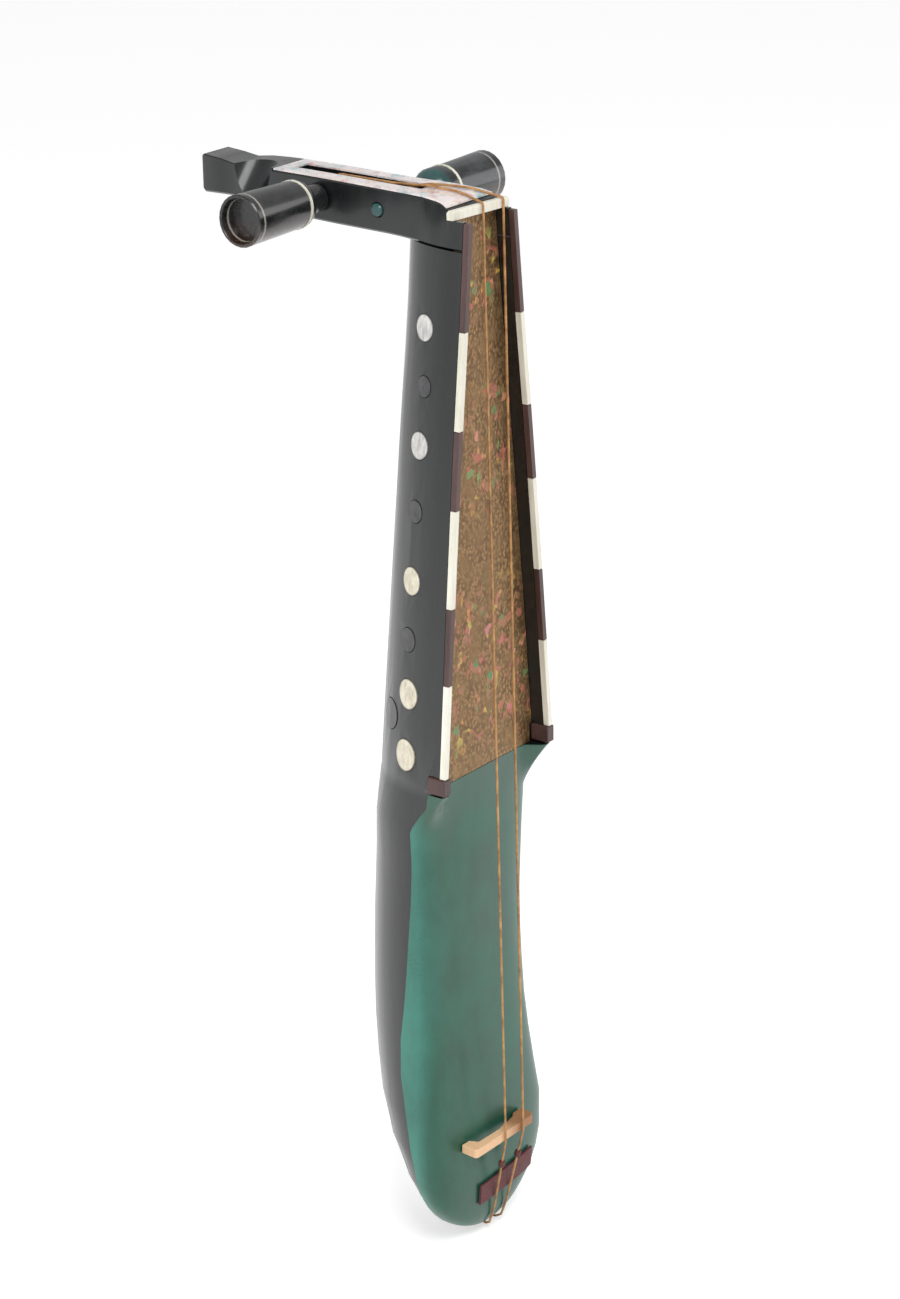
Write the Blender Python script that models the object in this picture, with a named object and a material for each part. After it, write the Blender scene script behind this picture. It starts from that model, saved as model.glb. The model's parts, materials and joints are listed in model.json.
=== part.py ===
"""Rebab: a two-string, boat-shaped spike-less fiddle with a bent-back head.

The instrument stands on its stern with +Z up its length. Its front faces -Y, the head
bends back to +Y and the pegs cross along X. Y = 0 is the plane of the neck's rim.
All sizes are in metres.
"""

import math

import bmesh
import bpy
from mathutils import Matrix, Vector

# Clearances
FIT_GAP = 0.0003
TURN_GAP = 0.0005
SKIN_GAP = 0.0006

# Body: heights along Z
NECK_TOP = 0.4972
STRIP_TOP = 0.5105
SHOULDER_FOOT = 0.2210
SKIN_TOP = 0.2435
BLOCK_FOOT = 0.2446
BLOCK_LENGTH = 0.0081
NECK_START = 0.2460

# Body: visible outline as (height, size) control points
HALF_WIDTH = (
    (0.000, 0.0090), (0.0025, 0.0160), (0.007, 0.0250), (0.015, 0.0345), (0.025, 0.0415),
    (0.035, 0.0450), (0.050, 0.0465), (0.065, 0.0455), (0.080, 0.0438), (0.120, 0.0412),
    (0.160, 0.0406), (0.200, 0.0415), (0.220, 0.0428), (0.246, 0.0438), (0.260, 0.0427),
    (0.290, 0.0401),
    (0.350, 0.0346), (0.410, 0.0287), (0.470, 0.0222), (0.515, 0.0180),
)
KEEL_DEPTH = (
    (0.000, 0.0190), (0.0025, 0.0220), (0.007, 0.0260), (0.015, 0.0310), (0.025, 0.0375),
    (0.035, 0.0450), (0.050, 0.0550), (0.065, 0.0615), (0.080, 0.0655), (0.120, 0.0690),
    (0.160, 0.0680), (0.200, 0.0650), (0.246, 0.0617), (0.290, 0.0587), (0.350, 0.0546),
    (0.410, 0.0504), (0.470, 0.0458), (0.515, 0.0436),
)
BELLY_FRONT = (
    (0.000, 0.0100), (0.0025, 0.0080), (0.007, 0.0062), (0.015, 0.0050), (0.030, 0.0042),
    (0.050, 0.0047), (0.080, 0.0080), (0.120, 0.0110), (0.160, 0.0120), (0.200, 0.0110),
    (0.2435, 0.0100),
)
SKIN_WRAP = (
    (0.000, 0.0165), (0.034, 0.0204), (0.065, 0.0253), (0.084, 0.0303), (0.101, 0.0321),
    (0.133, 0.0285), (0.191, 0.0223), (0.208, 0.0178), (0.225, 0.0130), (0.2435, 0.0100),
)
EDGE_DEPTH = 0.0100
EDGE_DEPTH_SHOULDER = 0.0020
EDGE_POWER = 3.0
EDGE_POWER_SHOULDER = 5.0
SHOULDER_INNER = 0.0115
SHOULDER_OUTER = 0.0045
SHOULDER_CURVE = 1.6

# Body: walls and hollow
HULL_WALL = 0.0050
RIM_WIDTH = 0.0028
PLATE_LEDGE = 0.0032
SKIN_LAND = 0.0075
OPENING_DEPTH = 0.0075
CAVITY_FLOOR = 0.0200
CAVITY_TOP = 0.4800
BAR_FOOT = 0.2360
BAR_TOP = 0.2500
RECESS_DEPTH = 0.0100

# Front pieces
PLATE_THICKNESS = 0.0008
SKIN_THICKNESS = 0.0008
STRIP_DEPTH = 0.0030
STRIP_LENGTHS = (
    ("bone", 0.0450), ("wood", 0.0365), ("bone", 0.0460),
    ("wood", 0.0365), ("bone", 0.0450), ("wood", 0.0485),
)
BLOCK_WIDTH = 0.0045
BLOCK_FLARE = 0.0006
BLOCK_PROUD = 0.0004

# Side discs: name, height, depth behind the rim plane, diameter
DISC_SIDES = 20
DISC_SINK = 0.0014
DISC_PROUD = 0.0002
BONE_DISCS = (
    (0.4600, 0.0250, 0.0125), (0.4060, 0.0250, 0.0130), (0.3420, 0.0268, 0.0135),
    (0.2880, 0.0262, 0.0146), (0.2582, 0.0268, 0.0155),
)
HORN_DISCS = (
    (0.4335, 0.0235, 0.0100), (0.3750, 0.0260, 0.0107), (0.3137, 0.0278, 0.0116),
    (0.2736, 0.0410, 0.0150),
)

# Head: sections as (Y, half width, top height above the joint, underside height above the joint)
HEAD_SECTIONS = (
    (0.0033, 0.0181, 0.0175, 0.0000), (0.0110, 0.0183, 0.0185, 0.0000),
    (0.0140, 0.0175, 0.0198, 0.0000), (0.0180, 0.0160, 0.0209, 0.0000),
    (0.0220, 0.0151, 0.0213, 0.0000), (0.0300, 0.0141, 0.0219, 0.0000),
    (0.0400, 0.0135, 0.0221, 0.0006), (0.0500, 0.0129, 0.0222, 0.0010),
    (0.0800, 0.0124, 0.0229, 0.0016), (0.1176, 0.0121, 0.0234, 0.0034),
    (0.1350, 0.0114, 0.0230, 0.0058), (0.1425, 0.0098, 0.0223, 0.0064),
    (0.1500, 0.0095, 0.0235, 0.0063), (0.1605, 0.0093, 0.0245, 0.0061),
    (0.1620, 0.0085, 0.0238, 0.0068),
)
HEAD_EDGE = 0.0010
SLOT_START = 0.0370
SLOT_END = 0.1100
SLOT_LEFT = -0.0042
SLOT_RIGHT = 0.0050
SLOT_DEPTH = 0.0170
SCOOP_CENTRE = 0.1300
SCOOP_RADIUS = 0.0120
SCOOP_SLOPE = 50.0
SCOOP_DEPTH = 0.0165
VENEER_THICKNESS = 0.0008
VENEER_START = 0.0132
VENEER_END = 0.1165

# Joint between head and body
DOWEL_RADIUS = 0.0040
DOWEL_DEPTH = 0.0110
DOWEL_Y = 0.0240

# Nut
NUT_BASE = 0.5110
NUT_HEIGHT = 0.0043
NUT_WIDTH = 0.0036
NUT_LEFT = -0.0190
NUT_RIGHT = 0.0192
NUT_FRONT_LEFT = 0.0086
NUT_FRONT_RIGHT = 0.0048

# Pegs: distances run outward from the middle plane of the head
PEG_SIDES = 24
PEG_TIP = 0.0140
PEG_TIP_RADIUS = 0.0030
PEG_WALL_RADIUS = 0.0056
COLLAR_RADIUS = 0.0068
COLLAR_START = 0.0134
COLLAR_END = 0.0235
HEAD_INNER_RADIUS = 0.0112
HEAD_OUTER_RADIUS = 0.0121
CUP_RADIUS = 0.0103
CUP_DEPTH = 0.0070
RING_WIDTH = 0.0014
RING_SEAT = 0.0014
LEFT_PEG = {"side": -1, "y": 0.0898, "z": 0.5105, "barrel": 0.0290, "ring": 0.0310, "end": 0.0694}
RIGHT_PEG = {"side": 1, "y": 0.0555, "z": 0.5090, "barrel": 0.0290, "ring": 0.0370, "end": 0.0704}

# Strings
STRING_RADIUS = 0.0006
LEFT_AT_NUT = 0.0002
RIGHT_AT_NUT = 0.0138
LEFT_AT_BRIDGE = -0.0064
RIGHT_AT_BRIDGE = 0.0084
LEFT_AT_STERN = -0.0032
RIGHT_AT_STERN = 0.0075
WINDING_TURNS = 4
WINDING_POINTS = 24
WINDING_PITCH = 0.00175
WINDING_START = 84.0
LAY_GAP = 0.0005

# Bridge: a reed arch set across the belly, as (X, height over the belly) of its underside
BRIDGE_FOOT = 0.0505
BRIDGE_THICKNESS = 0.0045
BRIDGE_TOP_Y = -0.0047
BRIDGE_LEFT = -0.0280
BRIDGE_RIGHT = 0.0205
BRIDGE_ARCH = (
    (-0.0224, 0.0000), (-0.0206, 0.0043), (-0.0044, 0.0043), (0.0017, 0.0030),
    (0.0037, 0.0033), (0.0108, 0.0019), (0.0138, 0.0000),
)

# Tail
PATCH_LEFT = -0.0155
PATCH_RIGHT = 0.0290
PATCH_FOOT = 0.0165
PATCH_HEIGHT = 0.0105
PATCH_RISE = 0.0030
PATCH_THICKNESS = 0.0012
KNOT_HEIGHT = 0.0370
KNOT_RADIUS = 0.0017
PIN_HEIGHT = 0.0100
PIN_RADIUS = 0.0028
PIN_HEAD_RADIUS = 0.0042
PIN_NECK = 0.0055
PIN_HEAD = 0.0030
PIN_SINK = 0.0120

# Smoothness of the lofted surfaces
BACK_STEPS = 18
CORNER_STEPS = 9
WRAP_STEPS = 3


def clear_scene():
    """Remove every object, so that the script starts from an empty scene."""
    for obj in list(bpy.data.objects):
        bpy.data.objects.remove(obj, do_unlink=True)


def finish(name, colour, roughness, metallic=0.0):
    """Return the named Principled material, made on first use."""
    material = bpy.data.materials.get(name)
    if material is None:
        material = bpy.data.materials.new(name)
        material.use_nodes = True
        shader = material.node_tree.nodes["Principled BSDF"]
        shader.inputs["Base Color"].default_value = (*colour, 1.0)
        shader.inputs["Roughness"].default_value = roughness
        shader.inputs["Metallic"].default_value = metallic
    return material


def ebonised_wood():
    return finish("ebonised_wood", (0.018, 0.020, 0.022), 0.35)


def brown_wood():
    return finish("brown_wood", (0.085, 0.040, 0.034), 0.45)


def bone():
    return finish("bone", (0.80, 0.75, 0.64), 0.40)


def horn():
    return finish("horn", (0.055, 0.055, 0.058), 0.40)


def shell_veneer():
    return finish("shell_veneer", (0.72, 0.60, 0.55), 0.25)


def stamped_brass():
    return finish("stamped_brass", (0.42, 0.27, 0.12), 0.40, 1.0)


def green_skin():
    return finish("green_skin", (0.014, 0.130, 0.085), 0.35)


def reed():
    return finish("reed", (0.78, 0.48, 0.28), 0.50)


def gut():
    return finish("gut", (0.62, 0.32, 0.10), 0.45)


def red_leather():
    return finish("red_leather", (0.10, 0.020, 0.022), 0.65)


def smooth_curve(points):
    """Return a function that runs a monotone cubic through (x, y) control points."""
    xs = [point[0] for point in points]
    ys = [point[1] for point in points]
    count = len(points)
    steps = [xs[i + 1] - xs[i] for i in range(count - 1)]
    slopes = [(ys[i + 1] - ys[i]) / steps[i] for i in range(count - 1)]
    tangents = [slopes[0]]
    for i in range(1, count - 1):
        if slopes[i - 1] * slopes[i] <= 0.0:
            tangents.append(0.0)
        else:
            before = 2.0 * steps[i] + steps[i - 1]
            after = steps[i] + 2.0 * steps[i - 1]
            tangents.append((before + after) / (before / slopes[i - 1] + after / slopes[i]))
    tangents.append(slopes[-1])

    def value(x):
        x = min(max(x, xs[0]), xs[-1])
        i = max(k for k in range(count - 1) if xs[k] <= x or k == 0)
        t = (x - xs[i]) / steps[i]
        t2 = t * t
        t3 = t2 * t
        return (
            (2 * t3 - 3 * t2 + 1) * ys[i]
            + (t3 - 2 * t2 + t) * steps[i] * tangents[i]
            + (3 * t2 - 2 * t3) * ys[i + 1]
            + (t3 - t2) * steps[i] * tangents[i + 1]
        )

    return value


half_width = smooth_curve(HALF_WIDTH)
keel_depth = smooth_curve(KEEL_DEPTH)
belly_front = smooth_curve(BELLY_FRONT)
skin_wrap = smooth_curve(SKIN_WRAP)


def smoothstep(t):
    t = min(max(t, 0.0), 1.0)
    return t * t * (3.0 - 2.0 * t)


def blend(start, end, t):
    return start + (end - start) * t


def shoulder_share(z):
    """How far the shoulders have risen at height z: 0 at their foot, 1 at the skin's top."""
    return min(max((z - SHOULDER_FOOT) / (SKIN_TOP - SHOULDER_FOOT), 0.0), 1.0)


class Section:
    """A belly cross-section: flat front, rounded corners, half an ellipse for the hull."""

    def __init__(self, z, width_inset=0.0, front_inset=0.0, keel_inset=0.0):
        share = shoulder_share(z)
        self.width = half_width(z) - width_inset
        self.front = belly_front(z) + front_inset
        self.keel = keel_depth(z) - keel_inset
        rise = share ** SHOULDER_CURVE
        self.rise = rise * (belly_front(z) - 0.0005)
        room = 0.45 * (self.keel - self.front)
        self.edge = min(blend(EDGE_DEPTH, EDGE_DEPTH_SHOULDER, share), room)
        self.power = blend(EDGE_POWER, EDGE_POWER_SHOULDER, share)
        self.widest = self.front - self.rise + self.edge
        self.lift_start = half_width(z) - SHOULDER_INNER + width_inset
        self.lift_end = half_width(z) - SHOULDER_OUTER + width_inset

    def lift(self, x):
        """How much the shoulder raises the front at distance x from the middle."""
        share = (abs(x) - self.lift_start) / (self.lift_end - self.lift_start)
        return self.rise * smoothstep(share)

    def corner_point(self, angle):
        """A point of the front; angle 0 is the side and 90 degrees the middle."""
        x = self.width * math.cos(angle) ** (2.0 / self.power)
        drop = self.edge * (1.0 - math.sin(angle) ** (2.0 / self.power))
        return x, self.front - self.lift(x) + drop

    def front_at(self, x):
        ratio = min(abs(x) / self.width, 1.0)
        drop = self.edge * (1.0 - (1.0 - ratio ** self.power) ** (1.0 / self.power))
        return self.front - self.lift(x) + drop

    def hull_point(self, angle):
        """A point of the hull; angle 0 is the widest line and 90 degrees the keel."""
        depth = (self.keel - self.widest) * math.sin(angle)
        return self.width * math.cos(angle), self.widest + depth

    def front_points(self):
        """Front points from the right side over the middle to the left side."""
        half = [self.corner_point(math.radians(90.0 * k / CORNER_STEPS)) for k in range(1, CORNER_STEPS)]
        middle = [(0.0, self.front)]
        return half + middle + [(-x, y) for x, y in reversed(half)]


def stations():
    """Heights of the lofted body's cross-sections, closer together at the stern."""
    low = [0.0, 0.0010, 0.0025, 0.0045, 0.0070, 0.0105, 0.0150, 0.0200, 0.0260, 0.0350]
    belly = [0.0350 + (SHOULDER_FOOT - 0.0350) * k / 10 for k in range(1, 11)]
    shoulder = [SHOULDER_FOOT + (SKIN_TOP - SHOULDER_FOOT) * k / 6 for k in range(1, 7)]
    return low + belly + shoulder


def neck_heights():
    return [NECK_START + (NECK_TOP - NECK_START) * k / 10 for k in range(11)]


def make_object(name, mesh, material):
    mesh.materials.clear()
    mesh.materials.append(material)
    obj = bpy.data.objects.new(name, mesh)
    bpy.context.scene.collection.objects.link(obj)
    return obj


def mesh_from(name, points, faces):
    mesh = bpy.data.meshes.new(name)
    mesh.from_pydata([tuple(point) for point in points], [], faces)
    work = bmesh.new()
    work.from_mesh(mesh)
    bmesh.ops.recalc_face_normals(work, faces=work.faces)
    work.to_mesh(mesh)
    work.free()
    return mesh


def loft(name, rings, material):
    """Join closed rings of points, each with the same count, and cap both ends."""
    count = len(rings[0])
    points = [point for ring in rings for point in ring]
    faces = []
    for i in range(len(rings) - 1):
        for k in range(count):
            following = (k + 1) % count
            faces.append((i * count + k, i * count + following,
                          (i + 1) * count + following, (i + 1) * count + k))
    last = (len(rings) - 1) * count
    faces.append(tuple(range(count)))
    faces.append(tuple(range(last, last + count)))
    return make_object(name, mesh_from(name, points, faces), material)


def shell_sheet(name, outer, inner, material):
    """Close two matching grids of points, outer and inner, into one thin solid."""
    rows = len(outer)
    columns = len(outer[0])
    points = [point for row in outer for point in row] + [point for row in inner for point in row]
    half = rows * columns
    faces = []
    for i in range(rows - 1):
        for k in range(columns - 1):
            a = i * columns + k
            faces.append((a, a + 1, a + columns + 1, a + columns))
            faces.append((half + a, half + a + columns, half + a + columns + 1, half + a + 1))
    for i in range(rows - 1):
        for k in (0, columns - 1):
            a = i * columns + k
            faces.append((a, a + columns, half + a + columns, half + a))
    for k in range(columns - 1):
        for i in (0, rows - 1):
            a = i * columns + k
            faces.append((a, a + 1, half + a + 1, half + a))
    return make_object(name, mesh_from(name, points, faces), material)


def box(name, low, high, material):
    corners = [(x, y, z) for z in (low[2], high[2]) for x, y in
               ((low[0], low[1]), (high[0], low[1]), (high[0], high[1]), (low[0], high[1]))]
    return loft(name, [corners[:4], corners[4:]], material)


def boolean(obj, tool, operation):
    """Apply an exact Boolean of obj with tool, then remove the tool."""
    tool.display_type = "WIRE"
    tool.hide_render = True
    modifier = obj.modifiers.new("cut", "BOOLEAN")
    modifier.solver = "EXACT"
    modifier.operation = operation
    modifier.object = tool
    bpy.context.view_layer.update()
    shape = obj.evaluated_get(bpy.context.evaluated_depsgraph_get())
    mesh = bpy.data.meshes.new_from_object(shape)
    old = obj.data
    obj.modifiers.remove(modifier)
    obj.data = mesh
    bpy.data.meshes.remove(old)
    mesh.name = obj.name
    bpy.data.objects.remove(tool, do_unlink=True)
    return obj


def cut(obj, tool):
    return boolean(obj, tool, "DIFFERENCE")


def turned(name, profile, axis_point, direction, sides, material):
    """Turn a closed (distance, radius) profile about an axis through axis_point.

    The profile's first and last points lie on the axis.
    """
    along = Vector(direction).normalized()
    side = along.orthogonal().normalized()
    other = along.cross(side)
    points = [Vector(axis_point) + along * profile[0][0]]
    for distance, radius in profile[1:-1]:
        for k in range(sides):
            angle = 2.0 * math.pi * k / sides
            spoke = side * math.cos(angle) + other * math.sin(angle)
            points.append(Vector(axis_point) + along * distance + spoke * radius)
    points.append(Vector(axis_point) + along * profile[-1][0])
    faces = []
    rings = len(profile) - 2
    for k in range(sides):
        faces.append((0, 1 + (k + 1) % sides, 1 + k))
        for i in range(rings - 1):
            a = 1 + i * sides
            faces.append((a + k, a + (k + 1) % sides, a + sides + (k + 1) % sides, a + sides + k))
        last = 1 + (rings - 1) * sides
        faces.append((last + k, last + (k + 1) % sides, len(points) - 1))
    return make_object(name, mesh_from(name, points, faces), material)


def ring_piece(name, axis_point, direction, profile, sides, material):
    """Turn a closed (distance, radius) outline that doesn't touch the axis."""
    along = Vector(direction).normalized()
    side = along.orthogonal().normalized()
    other = along.cross(side)
    points = []
    for distance, radius in profile:
        for k in range(sides):
            angle = 2.0 * math.pi * k / sides
            spoke = side * math.cos(angle) + other * math.sin(angle)
            points.append(Vector(axis_point) + along * distance + spoke * radius)
    faces = []
    for i in range(len(profile)):
        a = i * sides
        b = ((i + 1) % len(profile)) * sides
        for k in range(sides):
            faces.append((a + k, a + (k + 1) % sides, b + (k + 1) % sides, b + k))
    return make_object(name, mesh_from(name, points, faces), material)


def tube(name, points, radius, material, resolution=2):
    """A round tube with filled caps along a list of points."""
    curve = bpy.data.curves.new(name, "CURVE")
    curve.dimensions = "3D"
    spline = curve.splines.new("POLY")
    spline.points.add(len(points) - 1)
    for place, point in zip(spline.points, points):
        place.co = (*point, 1.0)
    curve.bevel_depth = radius
    curve.bevel_resolution = resolution
    curve.use_fill_caps = True
    curve.materials.append(material)
    obj = bpy.data.objects.new(name, curve)
    bpy.context.scene.collection.objects.link(obj)
    return obj


def stern_lift(z):
    """The wood's stern sits inside the skin, a little higher than the skin's outline."""
    return (SKIN_THICKNESS + SKIN_GAP) * min(max(1.0 - z / 0.030, 0.0), 1.0)


def wood_section(z):
    inset = SKIN_THICKNESS + SKIN_GAP
    return Section(z - stern_lift(z), inset, inset, 0.0)


def belly_ring(z):
    section = wood_section(z)
    hull = [section.hull_point(math.pi * k / BACK_STEPS) for k in range(BACK_STEPS + 1)]
    front = [(-x, y) for x, y in section.front_points()]
    return [(x, y, z) for x, y in hull + front]


def neck_hull_point(z, angle):
    return half_width(z) * math.cos(angle), keel_depth(z) * math.sin(angle)


def neck_ring(z):
    seat = STRIP_DEPTH + FIT_GAP
    start = math.asin(seat / keel_depth(z))
    turn = math.pi - 2.0 * start
    hull = [neck_hull_point(z, start + turn * k / BACK_STEPS) for k in range(BACK_STEPS + 1)]
    count = 2 * CORNER_STEPS - 1
    edge = hull[0][0]
    front = [(edge * (-1.0 + 2.0 * k / (count + 1)), seat) for k in range(1, count + 1)]
    return [(x, y, z) for x, y in hull + front]


def side_surface(z, depth):
    """Point and outward normal of the neck's left side at a height and a depth."""
    def place(height, back):
        x = -half_width(height) * math.sqrt(1.0 - (back / keel_depth(height)) ** 2)
        return Vector((x, back, height))

    step = 0.0005
    up = place(z + step, depth) - place(z - step, depth)
    back = place(z, depth + step) - place(z, depth - step)
    normal = up.cross(back).normalized()
    if normal.x > 0.0:
        normal = -normal
    return place(z, depth), normal


def cavity_tool():
    """The hull's hollow, from behind the front openings to the keel."""
    rings = []
    count = 22
    for k in range(count + 1):
        z = blend(CAVITY_FLOOR, CAVITY_TOP, k / count)
        share = smoothstep((z - SHOULDER_FOOT) / (NECK_START - SHOULDER_FOOT))
        section = Section(z)
        widest = blend(section.widest, 0.0, share)
        front = belly_front(z) + OPENING_DEPTH
        end = min(z - CAVITY_FLOOR, CAVITY_TOP - z)
        taper = 0.35 + 0.65 * smoothstep(end / 0.020)
        width = (half_width(z) - HULL_WALL) * taper
        keel = front + (keel_depth(z) - HULL_WALL - front) * taper
        start = math.asin(min(max((front - widest) / (keel - widest), 0.0), 0.9))
        ring = []
        for step in range(19):
            angle = start + (math.pi - 2.0 * start) * step / 18
            depth = widest + (keel - widest) * math.sin(angle)
            ring.append((width * math.cos(angle), max(depth, front), z))
        if start == 0.0:
            ring[0] = (width, front, z)
            ring[-1] = (-width, front, z)
        rings.append(ring)
    return loft("cavity", rings, ebonised_wood())


def rim_heights():
    """Heights that the recess, the plate and the strips share, above the end blocks."""
    low = BLOCK_FOOT + BLOCK_LENGTH + 2 * FIT_GAP
    return [blend(low, NECK_TOP, k / 10) for k in range(11)]


def front_tool(name, heights, inset, back):
    """A cutter that follows the outline inset from the sides, from the front to a depth."""
    rings = []
    for z in heights:
        x = half_width(z) - inset
        y = back(z)
        rings.append([(-x, -0.02, z), (x, -0.02, z), (x, y, z), (-x, y, z)])
    return loft(name, rings, ebonised_wood())


def recess_back(_z):
    return RECESS_DEPTH + PLATE_THICKNESS + FIT_GAP


def opening_back(z):
    return belly_front(z) + OPENING_DEPTH + 0.001


def disc_places():
    """Name, height, depth, diameter and finish of each side disc, top to bottom."""
    for index, (z, depth, diameter) in enumerate(BONE_DISCS):
        yield f"bone_disc_{index + 1}", z, depth, diameter, bone()
    for index, (z, depth, diameter) in enumerate(HORN_DISCS):
        yield f"horn_disc_{index + 1}", z, depth, diameter, horn()


def mirrored(vector, side):
    """The vector for the left side (-1) or mirrored for the right side (+1)."""
    return Vector((-vector.x if side > 0 else vector.x, vector.y, vector.z))


def disc_pocket(side, z, depth, diameter):
    centre, normal = side_surface(z, depth)
    reach = 0.004
    profile = [(-DISC_SINK - FIT_GAP, 0.0), (-DISC_SINK - FIT_GAP, diameter / 2 + FIT_GAP),
               (reach, diameter / 2 + FIT_GAP), (reach, 0.0)]
    return turned("pocket", profile, mirrored(centre, side), mirrored(normal, side),
                  DISC_SIDES, ebonised_wood())


def side_disc(name, side, z, depth, diameter, material):
    """An inlaid disc with its face dressed to the curve of the hull."""
    centre, normal = side_surface(z, depth)
    across = normal.cross(Vector((0.0, 0.0, 1.0))).normalized()
    up = across.cross(normal).normalized()
    back = [centre - normal * DISC_SINK]
    face = [centre + normal * DISC_PROUD]
    for k in range(DISC_SIDES):
        angle = 2.0 * math.pi * k / DISC_SIDES
        spoke = (across * math.cos(angle) + up * math.sin(angle)) * (diameter / 2)
        rim = centre + spoke
        surface, _normal = side_surface(rim.z, rim.y)
        sink = (surface - rim).dot(normal)
        face.append(rim + normal * (sink + DISC_PROUD))
        back.append(rim - normal * DISC_SINK)
    points = [mirrored(point, side) for point in face + back]
    faces = []
    count = DISC_SIDES + 1
    for k in range(DISC_SIDES):
        a = 1 + k
        b = 1 + (k + 1) % DISC_SIDES
        faces.append((0, a, b))
        faces.append((count, count + b, count + a))
        faces.append((a, count + a, count + b, b))
    return make_object(name, mesh_from(name, points, faces), material)


def build_body_shell():
    rings = [belly_ring(z) for z in stations()[1:]] + [neck_ring(z) for z in neck_heights()]
    body = loft("body_shell", rings, ebonised_wood())
    cut(body, cavity_tool())
    inset = RIM_WIDTH + PLATE_LEDGE
    plate_hole = [blend(BAR_TOP, CAVITY_TOP - 0.002, k / 10) for k in range(11)]
    skin_hole = [blend(CAVITY_FLOOR + 0.006, BAR_FOOT, k / 16) for k in range(17)]
    recess = [SKIN_TOP] + rim_heights() + [NECK_TOP + 0.01]
    cut(body, front_tool("plate_opening", plate_hole, inset, opening_back))
    cut(body, front_tool("skin_opening", skin_hole, SKIN_LAND, opening_back))
    cut(body, front_tool("recess", recess, RIM_WIDTH, recess_back))
    for side in (-1, 1):
        cut(body, block_notch(side))
    for _name, z, depth, diameter, _material in disc_places():
        for side in (-1, 1):
            cut(body, disc_pocket(side, z, depth, diameter))
    cut(body, dowel_tool(NECK_TOP - DOWEL_DEPTH, NECK_TOP + 0.002))
    cut(body, pin_tool())
    return body


def block_corners(side, grow):
    """The end block's outline at one wall, grown by a clearance."""
    middle = half_width(BLOCK_FOOT + BLOCK_LENGTH / 2)
    inner = middle - BLOCK_WIDTH - grow
    outer = middle + (BLOCK_FLARE if grow == 0.0 else 0.01)
    front = -BLOCK_PROUD if grow == 0.0 else -0.02
    back = RECESS_DEPTH - FIT_GAP + grow
    low = (min(side * inner, side * outer), front, BLOCK_FOOT - grow)
    high = (max(side * inner, side * outer), back, BLOCK_FOOT + BLOCK_LENGTH + grow)
    return low, high


def block_notch(side):
    low, high = block_corners(side, FIT_GAP)
    return box("notch", low, high, ebonised_wood())


def bevelled(obj, width, segments=1):
    modifier = obj.modifiers.new("soft_edges", "BEVEL")
    modifier.width = width
    modifier.segments = segments
    modifier.limit_method = "ANGLE"
    return obj


def build_rim(side, label):
    """Strips and end block that cap one wall of the neck."""
    low, high = block_corners(side, 0.0)
    bevelled(box(f"end_block_{label}", low, high, brown_wood()), 0.0004)
    start = BLOCK_FOOT + BLOCK_LENGTH + FIT_GAP
    counts = {"bone": 0, "wood": 0}
    for kind, length in STRIP_LENGTHS:
        counts[kind] += 1
        end = start + length - FIT_GAP
        rings = []
        for z in (start, (start + end) / 2, end):
            outer = side * half_width(z)
            inner = side * (half_width(z) - RIM_WIDTH)
            rings.append([(outer, 0.0, z), (inner, 0.0, z), (inner, STRIP_DEPTH, z),
                          (outer, STRIP_DEPTH, z)])
        material = bone() if kind == "bone" else brown_wood()
        loft(f"{kind}_strip_{label}_{counts[kind]}", rings, material)
        start += length


def build_discs():
    for side, label in ((-1, "left"), (1, "right")):
        for name, z, depth, diameter, material in disc_places():
            side_disc(f"{name}_{label}", side, z, depth, diameter, material)


def build_sound_plate():
    """The brass plate that covers the neck half, set down between the walls."""
    low = SKIN_TOP + FIT_GAP
    narrow = BLOCK_WIDTH + 2 * FIT_GAP
    wide = RIM_WIDTH + FIT_GAP
    heights = rim_heights()
    places = [(low, narrow), (heights[0] - 0.0004, narrow)]
    places += [(z, wide) for z in heights + [NUT_BASE - FIT_GAP]]
    rings = []
    for z, inset in places:
        x = half_width(z) - inset
        back = RECESS_DEPTH + PLATE_THICKNESS
        rings.append([(-x, RECESS_DEPTH, z), (x, RECESS_DEPTH, z), (x, back, z), (-x, back, z)])
    return loft("sound_plate", rings, stamped_brass())


def skin_row(z, grow):
    """One row of skin points from the left wrap over the front to the right wrap."""
    inset = SKIN_THICKNESS - grow
    section = Section(z, inset, inset, 0.0)
    wood_keel = keel_depth(z) + SKIN_THICKNESS + SKIN_GAP - inset
    section.keel = wood_keel
    reach = (skin_wrap(z) - section.widest) / (section.keel - section.widest)
    limit = math.asin(min(max(reach, 0.02), 0.9))
    right = [section.hull_point(limit * (WRAP_STEPS - k) / WRAP_STEPS) for k in range(WRAP_STEPS + 1)]
    left = [(-x, y) for x, y in reversed(right)]
    return [Vector((x, y, z)) for x, y in right + section.front_points() + left]


def build_belly_skin():
    heights = stations()
    outer = [skin_row(z, SKIN_THICKNESS) for z in heights]
    inner = [skin_row(z, 0.0) for z in heights]
    return shell_sheet("belly_skin", outer, inner, green_skin())


head_half_width = smooth_curve([(s[0], s[1]) for s in HEAD_SECTIONS])
head_top = smooth_curve([(s[0], NECK_TOP + s[2]) for s in HEAD_SECTIONS])
head_underside = smooth_curve([(s[0], NECK_TOP + FIT_GAP + s[3]) for s in HEAD_SECTIONS])


def head_foot_width(y):
    """Half width where the head meets the neck: the neck's own outline, then the pegbox's."""
    keel = keel_depth(NECK_TOP)
    if y >= keel:
        return head_half_width(y)
    outline = half_width(NECK_TOP) * math.sqrt(1.0 - (y / keel) ** 2)
    return max(outline, head_half_width(y))


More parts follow.
